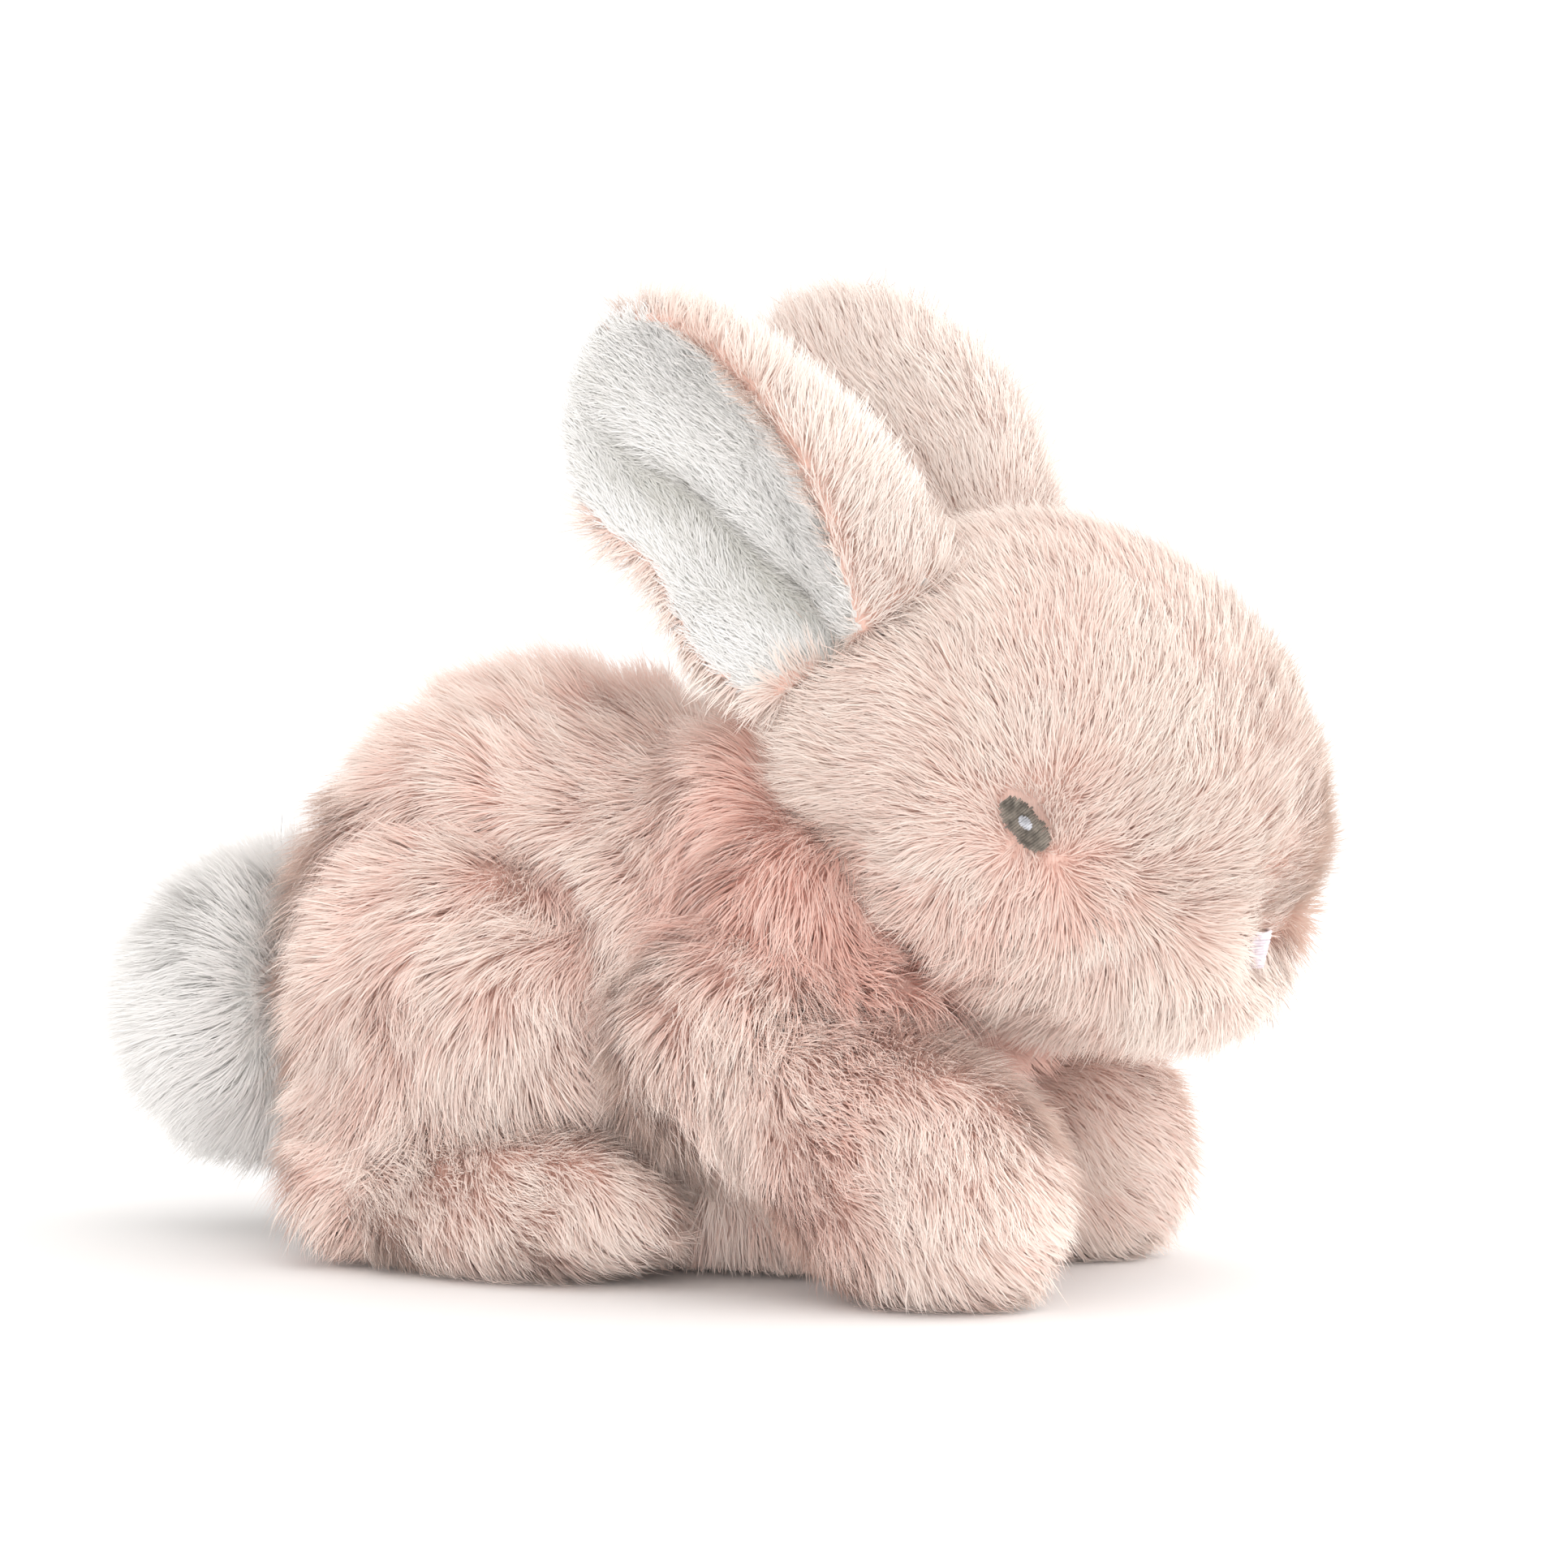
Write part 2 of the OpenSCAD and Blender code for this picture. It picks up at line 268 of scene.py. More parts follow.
# Its deep tones are the fibres' own deeper pink, and also the painted shade in the neck crease, on the
# chest, under the belly and at the front paws' roots.
PINK_PILE = pile_material(
    "pink_pile",
    deep=[(0.92, 0.52, 0.43), (0.95, 0.61, 0.52), (0.96, 0.68, 0.60)],
    pale=[(0.96, 0.72, 0.64), (0.95, 0.80, 0.73), (0.95, 0.87, 0.81)],
)
# The same pink plush a shade deeper: its darker colours are painted shade over the whole head.
SHADED_HEAD_PILE = pile_material(
    "head_pile",
    deep=[(0.80, 0.49, 0.41), (0.84, 0.57, 0.49), (0.86, 0.64, 0.57)],
    pale=[(0.87, 0.67, 0.60), (0.87, 0.74, 0.67), (0.87, 0.80, 0.74)],
)
EAR_PILE = pile_material(
    "ear_pile",
    deep=[(0.88, 0.58, 0.50), (0.90, 0.66, 0.58), (0.91, 0.73, 0.66)],
    pale=[(0.91, 0.76, 0.69), (0.91, 0.81, 0.75), (0.91, 0.85, 0.80)],
)
WHITE_PILE = pile_material(
    "white_pile",
    deep=[(0.90, 0.88, 0.86), (0.93, 0.92, 0.90), (0.95, 0.94, 0.93)],
    pale=[(0.93, 0.92, 0.90), (0.96, 0.95, 0.94), (0.98, 0.98, 0.97)],
)
# Its grey deep colours are mostly painted shade, laid down the fold of the lining.
LINING_PILE = pile_material(
    "lining_pile",
    deep=[(0.62, 0.61, 0.56), (0.68, 0.67, 0.62), (0.74, 0.73, 0.69)],
    pale=[(0.93, 0.93, 0.91), (0.96, 0.96, 0.95), (0.97, 0.97, 0.97)],
)
PINK_BACKING = backing_material("pink_backing", (0.84, 0.56, 0.47), (0.90, 0.64, 0.56))
WHITE_BACKING = backing_material("white_backing", (0.84, 0.82, 0.80), (0.93, 0.92, 0.90))
EYE_THREAD = thread_material("eye_thread", (0.075, 0.062, 0.048), (0.24, 0.205, 0.17))
WHITE_THREAD = thread_material("white_thread", (0.24, 0.24, 0.26), (0.56, 0.57, 0.62))
NOSE_THREAD = thread_material("nose_thread", (0.62, 0.54, 0.60), (0.80, 0.74, 0.79), 0.5)


# ---------------------------------------------------------------- padded skins

CLOTH_FRAMES = 16     # how long the cloth swells
PRESSURE = 2.0        # how hard the stuffing presses on the cover


def cad_copy(name, nodes):
    """One mesh of several CAD nodes together."""
    points, faces, start = [], [], 0
    for node in nodes:
        mesh = frame["nodes"][node].data
        points.append(cad_points(node))
        faces += [[start + i for i in face.vertices] for face in mesh.polygons]
        start += len(mesh.vertices)
    return new_object(name, np.vstack(points), faces)


def inflate(obj, cap):
    """Blows the cover up with cloth, as stuffing does. The vertices of the group "sewn" are held,
    and none moves further than cap."""
    before = get_points(obj)
    cloth = obj.modifiers.new("stuffing", "CLOTH")
    settings = cloth.settings
    settings.use_pressure = True
    settings.uniform_pressure_force = PRESSURE
    settings.effector_weights.gravity = 0
    settings.quality = 4
    settings.mass = 0.1
    settings.tension_stiffness = settings.compression_stiffness = 12
    settings.vertex_group_mass = "sewn"
    cloth.point_cache.frame_start, cloth.point_cache.frame_end = 1, CLOTH_FRAMES
    scene = bpy.context.scene
    for step in range(1, CLOTH_FRAMES + 1):
        scene.frame_set(step)
    apply_modifiers(obj)
    scene.frame_set(1)
    move = get_points(obj) - before
    length = np.linalg.norm(move, axis=1, keepdims=True)
    set_points(obj, before + move * np.minimum(1, cap / np.maximum(length, 1e-9)))


def swell_with(obj, centre, radii):
    """Joins an ellipsoid to a mesh, to be remeshed with it."""
    bpy.ops.mesh.primitive_uv_sphere_add(segments=32, ring_count=16)
    ball = bpy.context.object
    matrix = Matrix.LocRotScale(Vector(centre) * MM, None, Vector(radii) * MM)
    ball.data.transform(matrix)
    with bpy.context.temp_override(active_object=obj, selected_editable_objects=[obj, ball]):
        bpy.ops.object.join()


def skin(body, nodes, voxel, seams=None, inset=BACKING, puff=1.2, backing=PINK_BACKING,
         swells=(), shape=None):
    """The stuffed cover of a body: its CAD solids, and swells of centre and radii, as one soft
    closed form, remeshed at voxel. It lies about inset under the CAD surface once it has puffed up.
    seams says where it is held while it does, and shape how far each of its points is moved."""
    made = cad_copy(f"{body}_skin", nodes)
    for centre, radii in swells:
        swell_with(made, centre, radii)
    remesh = made.modifiers.new("remesh", "REMESH")
    remesh.mode, remesh.voxel_size = "VOXEL", voxel * MM
    apply_modifiers(made)
    smooth(made, 6)
    points = get_points(made) - get_normals(made) * (inset + puff * 0.6)
    if shape is not None:
        points = points + shape(points)
    set_points(made, points)
    smooth(made, 2)
    held = made.vertex_groups.new(name="sewn")
    points = get_points(made)
    near = np.zeros(len(points)) if seams is None else seams(points)
    for i in np.nonzero(near > 0.05)[0]:
        held.add([int(i)], float(near[i]), "REPLACE")
    inflate(made, puff)
    divide = made.modifiers.new("divide", "SUBSURF")
    divide.levels = divide.render_levels = 1
    apply_modifiers(made)
    for face in made.data.polygons:
        face.use_smooth = True
    made.data.materials.clear()
    made.data.materials.append(backing)
    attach(made, body)
    return made


# ---------------------------------------------------------------- pile

class Surface:
    """A skin's triangles, ready for fibres to be planted on."""

    def __init__(self, obj):
        mesh = obj.data
        mesh.calc_loop_triangles()
        corners = np.empty(len(mesh.loop_triangles) * 3, np.int32)
        mesh.loop_triangles.foreach_get("vertices", corners)
        corners = corners.reshape(-1, 3)
        self.points = get_points(obj)[corners]
        self.normals = get_normals(obj)[corners]
        cross = np.cross(self.points[:, 1] - self.points[:, 0], self.points[:, 2] - self.points[:, 0])
        self.areas = np.linalg.norm(cross, axis=1) / 2

    def scatter(self, per_mm2, rng):
        """Random points and their normals, so many to each square millimetre."""
        count = int(self.areas.sum() * per_mm2)
        which = rng.choice(len(self.areas), count, p=self.areas / self.areas.sum())
        a, b = rng.random((2, count, 1))
        flip = a + b > 1
        a, b = np.where(flip, 1 - a, a), np.where(flip, 1 - b, b)
        weights = np.stack([1 - a - b, a, b], 1)
        points = (self.points[which] * weights).sum(1)
        return points, unit((self.normals[which] * weights).sum(1))


def pile(name, body, surface, material, region, comb, length=8.0, seed=1, density=8.0, gather=1.2,
         lean=(22, 70), swirl=0.4, tone=0.7, nodes=()):
    """The pile of one panel. density is how many fibres stand on a square millimetre, and gather
    how strongly their tips draw together in locks. lean is each fibre's angle from upright at its
    root and at its tip, in degrees. tone goes from 0, deep, to 1, pale. swirl is how far the
    flow wanders from the comb."""
    rng = np.random.default_rng(seed)
    root, normal = surface.scatter(density, rng)
    keep = region(root, normal)
    root, normal = root[keep], normal[keep]
    many = (len(root), 1)

    def vary(amount):
        return amount * rng.normal(size=many)

    flow = along_surface(comb(root, normal), normal)
    side = np.cross(normal, flow)
    turn = (waves(root, 13, seed + 50) + waves(root, 28, seed + 55))[:, None] * swirl
    turn = turn + waves(root, 5, seed + 70)[:, None] * 0.16
    turn = turn + vary(0.16)
    flow, side = flow * np.cos(turn) + side * np.sin(turn), side * np.cos(turn) - flow * np.sin(turn)
    reach = length(root)[:, None] if callable(length) else length
    size = reach * np.clip(1 + vary(0.17), 0.5, 1.4)
    swell = waves(root, 9, seed + 80)[:, None] * 0.16
    steep, flat = (np.radians(a) for a in (lean(root) if callable(lean) else lean))
    steep = steep + vary(0.13) + swell
    flat = flat + vary(0.15) + swell
    curl, stray = vary(0.30), rng.normal(size=root.shape) * 0.35
    lock = uphill(root, 4.5, seed + 90) + uphill(root, 9, seed + 95) * 0.7
    draw = gather(root)[:, None] if callable(gather) else gather
    lock = draw * (lock - normal * (lock * normal).sum(-1, keepdims=True))

    stations = (0.0, 0.36, 0.72, 1.0)
    line, height, run = [], 0.0, 0.0
    for i, t in enumerate(stations):
        if i:
            bend = steep + (flat - steep) * (t + stations[i - 1]) / 2
            height = height + size * np.cos(bend) * (t - stations[i - 1])
            run = run + size * np.sin(bend) * (t - stations[i - 1])
        line.append(root + normal * height + flow * run + side * curl * math.sin(3 * t)
                    + lock * t ** 1.3 + stray * t * t)
    line = np.stack(line, 1)
    line[..., 2] = np.maximum(line[..., 2], LIFT + 0.4 * rng.random(line.shape[:2]))

    heading = unit(np.gradient(line, axis=1))
    outward = np.broadcast_to(normal[:, None], heading.shape)
    lateral = unit(np.cross(heading, outward))
    facing = np.cross(lateral, heading)
    facing *= np.sign((facing * outward).sum(-1, keepdims=True))
    roll = vary(0.15)[:, None]
    lateral, facing = (
        lateral * np.cos(roll) + facing * np.sin(roll),
        facing * np.cos(roll) - lateral * np.sin(roll),
    )
    half = FIBRE / 2 * np.array([1.0, 0.95, 0.62])[None, :, None] * (1 + vary(0.2))[:, None]
    left, right = line[:, :3] - lateral[:, :3] * half, line[:, :3] + lateral[:, :3] * half
    points = np.concatenate([np.stack([left, right], 2).reshape(-1, 6, 3), line[:, 3:]], 1)
    soft = unit(0.3 * outward + 0.7 * facing)
    normals = np.concatenate([np.repeat(soft[:, :3], 2, axis=1), soft[:, 3:]], 1)

    strands = len(root)
    start = np.arange(strands)[:, None] * 7
    across = np.cross(right[:, 0] - left[:, 0], line[:, 1] - line[:, 0])
    turnwise = (across * facing[:, 0]).sum(-1, keepdims=True) > 0
    quads = np.where(turnwise, [0, 1, 3, 2, 2, 3, 5, 4], [1, 0, 2, 3, 3, 2, 4, 5]) + start
    tips = np.where(turnwise, [4, 5, 6], [5, 4, 6]) + start
    corners = np.concatenate([quads, tips], 1)

    mesh = bpy.data.meshes.new(name)
    mesh.vertices.add(strands * 7)
    mesh.vertices.foreach_set("co", (points * MM).astype(np.float32).ravel())
    mesh.loops.add(corners.size)
    mesh.loops.foreach_set("vertex_index", corners.astype(np.int32).ravel())
    mesh.polygons.add(strands * 3)
    starts = np.arange(strands)[:, None] * 11 + np.array([0, 4, 8])
    mesh.polygons.foreach_set("loop_start", starts.astype(np.int32).ravel())
    mesh.polygons.foreach_set("use_smooth", np.ones(strands * 3, bool))

    shade = tone(root)[:, None] if callable(tone) else tone
    shade = shade + 0.10 * waves(root, 20, seed + 60)[:, None]
    # paler on the ridges of the locks and deeper between them: painted shade in the hollows between
    # locks
    shade = shade + 0.12 * draw * (waves(root, 4.5, seed + 90) + waves(root, 9, seed + 95))[:, None]
    tint = np.clip(shade + vary(0.16), 0.04, 0.96)
    along = np.array([0.0, 0.0, 0.36, 0.36, 0.72, 0.72, 0.98])
    edge = np.array([-1, 1, -1, 1, -1, 1, 0]) * 0.02
    local = corners - start
    uv = np.stack([tint + edge[local], 0.01 + along[local]], -1)
    layer = mesh.uv_layers.new(name="OFBake")
    layer.data.foreach_set("uv", uv.astype(np.float32).ravel())
    mesh.update(calc_edges=True)
    mesh.normals_split_custom_set_from_vertices(normals.reshape(-1, 3).tolist())
    mesh.materials.append(material)

    made = bpy.data.objects.new(name, mesh)
    bpy.context.scene.collection.objects.link(made)
    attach(made, body)
    if nodes:
        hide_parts(*nodes)
    return made


def everywhere(points, normals):
    """True at every point."""
    return np.ones(len(points), bool)


# ---------------------------------------------------------------- torso and haunches

haunch_centre = {side: middle(f"haunch_{side}") for side in SIDES}
haunch_radius = np.ptp(cad_points("haunch_right")[:, 0]) / 2
belly_top = cad_points("belly_panel")[:, 2].max()
tail_centre = middle("tail_cover")
BACK_LOW = 50.0       # where the fur of the flanks ends and the fur of the back begins
BACK_RISE = 2.0       # how far the stuffing fills the back
GROOVE_DEPTH = 2.6    # how far the seams round the haunches are drawn in


def on_haunch(points, side):
    """How deep each point lies inside a haunch's round outline, in mm."""
    centre = haunch_centre[side]
    gap = np.hypot(points[:, 0] - centre[0], points[:, 2] - centre[2] + 2)
    outside = points[:, 1] * SIDES[side] > 12
    return np.where(outside, haunch_radius - gap, -99.0)


def torso_seams(points):
    """1 on the seams along the back, round the belly and round the haunches, 0 away from them."""
    along_back = np.exp(-(points[:, 1] / 1.6) ** 2) * (points[:, 2] > belly_top)
    round_belly = np.exp(-((points[:, 2] - belly_top) / 1.6) ** 2)
    haunches = sum(np.exp(-(on_haunch(points, side) / 1.6) ** 2) for side in SIDES)
    return np.clip(np.maximum(np.maximum(along_back, round_belly), haunches), 0, 1)


SWELLS = [
    # the middle and the radii of each place on the left side where the stuffing swells the torso
    ((17, 21, 33), (19, 17, 18)),      # shoulder
    ((22, 13, 52), (14, 15, 14)),      # side of the neck
    ((12, 9, 62), (13, 13, 11)),       # back of the neck
    ((36, 14, 38), (12, 12, 10)),      # front of the neck
    ((-37, 24, 14), (13, 14, 12)),     # heel
    ((-28, 24, 21), (24, 13, 9)),      # thigh over the foot
]


def torso_shape(points):
    """A fuller back, and a groove sewn round each haunch."""
    x, y, z = points.T
    back = smoothstep(58, 74, z) * smoothstep(-50, -20, x) * smoothstep(40, 14, x)
    groove = sum(np.exp(-(on_haunch(points, side) / 3.0) ** 2) for side in SIDES)
    move = np.zeros_like(points)
    move[:, 2] += BACK_RISE * back
    move[:, 1] -= GROOVE_DEPTH * groove * np.sign(y) * smoothstep(14, 24, z)
    return move


torso = skin(
    "torso",
    ["torso_side_right", "torso_side_left", "belly_panel", "torso_stuffing", "haunch_right",
     "haunch_left"],
    voxel=2.2,
    seams=torso_seams,
    swells=[(np.array([x, y * way, z]), size) for way in SIDES.values() for (x, y, z), size in SWELLS],
    shape=torso_shape,
)
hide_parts("torso_stuffing")


def torso_comb(points, normals):
    """Backwards along the back, down over the flanks, and forward over the shoulders."""
    x, y, z = points.T
    down = smoothstep(72, 46, z)
    ahead = smoothstep(0, 26, x) * down
    return np.stack([0.75 * ahead - 1 + 0.75 * down, 0.7 * down * np.sign(y), -0.3 - 0.9 * down], 1)


def haunch_comb(side):
    """Down over the thigh, fanning out to its front and back."""
    def comb(points, normals):
        ahead = (points[:, 0] - haunch_centre[side][0]) / haunch_radius
        return np.stack([0.55 * ahead - 0.2, 0 * ahead + 0.6 * SIDES[side], 0 * ahead - 1], 1)
    return comb


def haunch_edge(points):
    """1 on the seams round the haunches, 0 away from them."""
    return sum(np.exp(-(on_haunch(points, side) / 2.6) ** 2) for side in SIDES)


def torso_length(points):
    """Shorter under the belly and on the seams of the haunches."""
    flat = smoothstep(0, 10, points[:, 2])
    return (4.0 + 4.4 * flat) * (1 - 0.35 * haunch_edge(points))


def crease(points):
    """1 in the crease between head and shoulders, 0 away from it: where shade is painted into the fur.
    """
    neck_at = np.array(JOINTS["neck_turn"]["pos_m"]) / MM
    return smoothstep(31, 26, np.linalg.norm(points - neck_at, axis=1))


def torso_tone(points):
    """Pinker on the seams of the haunches. Painted shade deepens the crease at the neck and the chest
    under the head.
    """
    # chest is painted shade on the chest, under the head
    chest = smoothstep(24, 38, points[:, 0])
    return 0.85 - 0.4 * haunch_edge(points) - 0.6 * crease(points) - 0.4 * chest


torso_surface = Surface(torso)
for number, side in enumerate(SIDES):
    for part, low, high, nodes in (
        ("flank", belly_top, BACK_LOW, [f"torso_side_{side}"]), ("back", BACK_LOW, 200, [])
    ):
        pile(
            f"pile_{part}_{side}", "torso", torso_surface, PINK_PILE, seed=11 + number,
            region=lambda p, n, s=side, low=low, high=high: (
                (p[:, 1] * SIDES[s] > 0) & (p[:, 2] > low) & (p[:, 2] <= high)
                & (on_haunch(p, s) < 0)
            ),
            comb=torso_comb, length=torso_length, tone=torso_tone, nodes=nodes,
        )
    pile(
        f"pile_haunch_{side}", "torso", torso_surface, PINK_PILE, seed=21 + number,
        region=lambda p, n, s=side: (p[:, 2] > belly_top) & (on_haunch(p, s) >= 0),
        comb=haunch_comb(side), length=torso_length, tone=torso_tone, swirl=0.6, lean=(22, 66),
        nodes=[f"haunch_{side}"],
    )
# The belly's deeper tone is painted shade under the body.
pile(
    "pile_belly", "torso", torso_surface, PINK_PILE, seed=31,
    region=lambda p, n: p[:, 2] <= belly_top,
    comb=torso_comb, length=torso_length, tone=0.6, nodes=["belly_panel"],
)


# ---------------------------------------------------------------- head

NOSE_DIMPLE = 5.0          # how far the stitches of the nose draw it in
PARTING_END = (79, 9, 46)  # where the parting on the left side of the face ends
EYE_SLIMMER = 0.76         # the breadth of an eye's stitches, as a share of its CAD solid


def oval_axes(node):
    """The middle of an embroidered oval, its long and short axes, and their lengths. The stitches
    are slimmer than the CAD solid."""
    points = cad_points(node)
    spread = points - points.mean(0)
    long_axis, short_axis, _ = np.linalg.svd(spread, full_matrices=False)[2]
    length, breadth = np.ptp(spread @ long_axis), np.ptp(spread @ short_axis) * EYE_SLIMMER
    return points.mean(0), long_axis, short_axis, length, breadth


gusset_half = cad_points("head_gusset")[:, 1].max()
chin_top = cad_points("chin_panel")[:, 2].max()
head_low = cad_points("head_side_right", "head_gusset").min(0)
head_high = cad_points("head_gusset").max(0)
head_centre = np.array([(head_low[0] + head_high[0]) / 2, 0, (head_low[2] + head_high[2]) / 2])
eye_centre = {side: middle(f"eye_{side}") for side in SIDES}
nose_centre = middle("nose")
eye_axes = {side: oval_axes(f"eye_{side}") for side in SIDES}


def head_seams(points):
    """1 on the two seams along the top of the head, 0 away from them."""
    return np.clip(np.exp(-((np.abs(points[:, 1]) - gusset_half) / 1.4) ** 2), 0, 1)


def head_shape(points):
    """Drawn in at the nose, fuller in the cheeks and chin, slimmer where it meets the neck."""
    x, y, z = points.T
    nose = np.exp(-((y / 13) ** 2 + ((z - nose_centre[2]) / 8.5) ** 2)) * (x > 60)
    chin = smoothstep(60, 80, x) * smoothstep(52, 40, z)
    brow = smoothstep(52, 70, x) * smoothstep(52, 60, z) * smoothstep(78, 70, z)
    hind = smoothstep(54, 34, x) * smoothstep(74, 56, z)
    move = hind[:, None] * unit(head_centre - points) * 5.0
    move[:, 0] += 3.5 * chin + 0.8 * brow - nose * NOSE_DIMPLE
    move[:, 1] += (chin + brow) * 1.2 * np.tanh(y / 12)
    move[:, 2] -= chin * 3.0
    return move


head = skin(
    "head",
    ["head_side_right", "head_side_left", "head_gusset", "chin_panel", "head_stuffing"],
    voxel=2.0,
    seams=head_seams,
    shape=head_shape,
)
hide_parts("head_stuffing")


def parting(points):
    """A ragged parting that runs from each eye to the nose: its direction, how far along it each
    point lies, and the way and the distance from it to the point."""
    start = np.where(points[:, 1:2] > 0, eye_centre["left"], eye_centre["right"]) - UP * 3
    end = np.tile(PARTING_END, (len(points), 1)).astype(float)
    end[:, 1] *= np.tanh(points[:, 1] / 5)
    line = end - start
    share = ((points - start) * line).sum(1) / (line * line).sum(1)
    gap = points - start - line * np.clip(share, 0, 1)[:, None]
    gap = gap + UP * 2.5 * waves(points, 7, 40)[:, None]
    return line, share, gap, np.linalg.norm(gap, axis=1)


def head_comb(points, normals):
    """Away from the parting, and back over the rest."""
    line, _, gap, away = parting(points)
    away = away[:, None]
    far, near = smoothstep(8, 30, away), smoothstep(7, 0, away)
    low = smoothstep(70, 45, points[:, 2])[:, None]
    flow = gap / (away + 3) + unit(line) * 0.5 * near - FORWARD * 0.5 * far - UP * 0.35 * low
    flow[:, 1] *= smoothstep(2, 18, np.abs(points[:, 1])) * (1 - 0.7 * smoothstep(50, 62, points[:, 2]))
    return flow


def head_length(points):
    """Short round the eyes and nose, long on the cheeks."""
    face = np.linalg.norm(points - nose_centre, axis=1)
    eyes = np.minimum(*(np.linalg.norm(points - eye_centre[s], axis=1) for s in SIDES))
    cheek = smoothstep(62, 45, points[:, 2])
    return (5.0 + 2.5 * cheek + 1.0 * smoothstep(60, 20, points[:, 0])) * (
        0.45 + 0.55 * smoothstep(5, 20, face)) * (0.55 + 0.45 * smoothstep(3, 11, eyes))


def head_lean(points):
    """More upright at the front of the muzzle than elsewhere, in degrees."""
    back = smoothstep(86, 66, points[:, 0])[:, None]
    return 24 + 10 * back, 60 + 15 * back


def head_gather(points):
    """Smooth on the forehead and muzzle, in deep locks on the cheeks."""
    return 0.4 + 1.9 * smoothstep(68, 52, points[:, 2]) * smoothstep(84, 68, points[:, 0])


def head_tone(points):
    """Pinker along the parting, where the roots show and shade is painted into its hollow.
    Painted shade also deepens the low cheeks and jaw and the crease at the neck. Paler on the muzzle.
    """
    _, share, _, away = parting(points)
    parting_shade = np.exp(-(away / 5.5) ** 2) * smoothstep(1.0, 0.6, share)
    muzzle = smoothstep(64, 80, points[:, 0])
    low = smoothstep(60, 44, points[:, 2])
    # painted shade: the parting's hollow, the low cheeks and jaw, and the neck crease are deeper
    return 0.78 - 0.42 * parting_shade - 0.25 * low * (1 - muzzle) - 0.6 * crease(points) * low + 0.2 * muzzle


def off_the_face(points):
    """False under the embroidery."""
    clear = np.linalg.norm((points - nose_centre) * [0.5, 1, 1.2], axis=1) > 2.6
    for centre, long_axis, short_axis, length, breadth in eye_axes.values():
        gap = points - centre
        inside = np.hypot(gap @ long_axis / length, gap @ short_axis / breadth) < 0.5
        clear &= ~(inside & (np.linalg.norm(gap, axis=1) < 10))
    return clear


head_surface = Surface(head)


def head_pile(name, node, seed, panel, density=9.5, swirl=0.4):
    """The pile of one panel of the head. panel says which points lie on it."""
    pile(
        name, "head", head_surface, SHADED_HEAD_PILE, seed=seed,
        region=lambda p, n: panel(p) & off_the_face(p), comb=head_comb, length=head_length,
        density=density, lean=head_lean, gather=head_gather, tone=head_tone, swirl=swirl,
        nodes=[node],
    )


def on_gusset(points):
    """True between the two seams along the head."""
    return np.abs(points[:, 1]) <= gusset_half


for number, side in enumerate(SIDES):
    head_pile(f"pile_head_{side}", f"head_side_{side}", 41 + number,
              lambda p, s=side: p[:, 1] * SIDES[s] > gusset_half)
head_pile("pile_head_top", "head_gusset", 51, lambda p: on_gusset(p) & (p[:, 2] > chin_top),
          density=8.9, swirl=0.15)
head_pile("pile_chin", "chin_panel", 52, lambda p: on_gusset(p) & (p[:, 2] <= chin_top))


# ---------------------------------------------------------------- embroidery

THREAD_SIDES = 6     # how many sides a thread's round section has


def thread(points, radius):
    """A tube along points that tapers to its ends: its vertices and faces."""
    sides = THREAD_SIDES
    points = np.asarray(points, float)
    heading = unit(np.gradient(points, axis=0))
    first = unit(np.cross(heading, UP + 0.01))
    second = np.cross(heading, first)
    turn = np.linspace(0, 2 * math.pi, sides, endpoint=False)
    taper = np.sin(np.linspace(0.35, math.pi - 0.35, len(points))) ** 0.5
    rings = [
        p + radius * r * (np.cos(turn)[:, None] * a + np.sin(turn)[:, None] * b)
        for p, a, b, r in zip(points, first, second, taper)
    ]
    faces = []
    for i in range(len(points) - 1):
        low, high = i * sides, (i + 1) * sides
        for j in range(sides):
            after = (j + 1) % sides
            faces.append([low + j, low + after, high + after, high + j])
    faces += [list(range(sides))[::-1], [(len(points) - 1) * sides + j for j in range(sides)]]
    return np.vstack(rings), faces


def embroider(name, stitches, radius, material, body, nodes):
    """One piece of many short threads, each a list of points."""
    points, faces, start = [], [], 0
    for stitch in stitches:
        p, f = thread(stitch, radius)
        points.append(p)
        faces += [[start + i for i in face] for face in f]
        start += len(p)
    made = new_object(name, np.vstack(points), faces)
    for face in made.data.polygons:
        face.use_smooth = True
    made.data.materials.append(material)
    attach(made, body)
    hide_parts(*nodes)
    return made


def satin(centre, axes, length, breadth, pitch, crown, rng):
    """Satin stitch over an oval: threads along its short axis, pitch apart, which rise by crown.
    axes are its long axis, its short axis and its way outward."""
    long_axis, short_axis, outward = axes
    stitches = []
    for x in np.arange(-length / 2 + pitch / 2, length / 2, pitch):
        reach = breadth / 2 * (1 - abs(2 * x / length) ** 3) ** 0.4 + rng.normal() * 0.16
        steps = np.linspace(-1, 1, 7)
        stitches.append([
            centre + long_axis * (x + rng.normal() * 0.03) + short_axis * s * reach
            + outward * crown * (math.sqrt(1 - 0.85 * s * s) * (1 - 0.5 * (2 * x / length) ** 2))
            for s in steps
        ])
    return stitches


for side in SIDES:
    rng = np.random.default_rng(5)
    centre, long_axis, short_axis, length, breadth = eye_axes[side]
    outward = np.cross(long_axis, short_axis)
    outward = outward * np.sign(outward @ (centre - head_centre))
    axes = long_axis, short_axis, outward
    embroider(
        f"eye_stitches_{side}",
        satin(centre - outward * 0.3, axes, length, breadth, pitch=0.34, crown=1.1, rng=rng),
        0.24, EYE_THREAD, "head", [f"eye_{side}"],
    )
    light = middle(f"eye_highlight_{side}") + outward * 0.5
    embroider(
        f"eye_light_{side}",
        satin(light, axes, length=2.0, breadth=1.5, pitch=0.3, crown=0.25, rng=rng),
        0.2, WHITE_THREAD, "head", [f"eye_highlight_{side}"],
    )

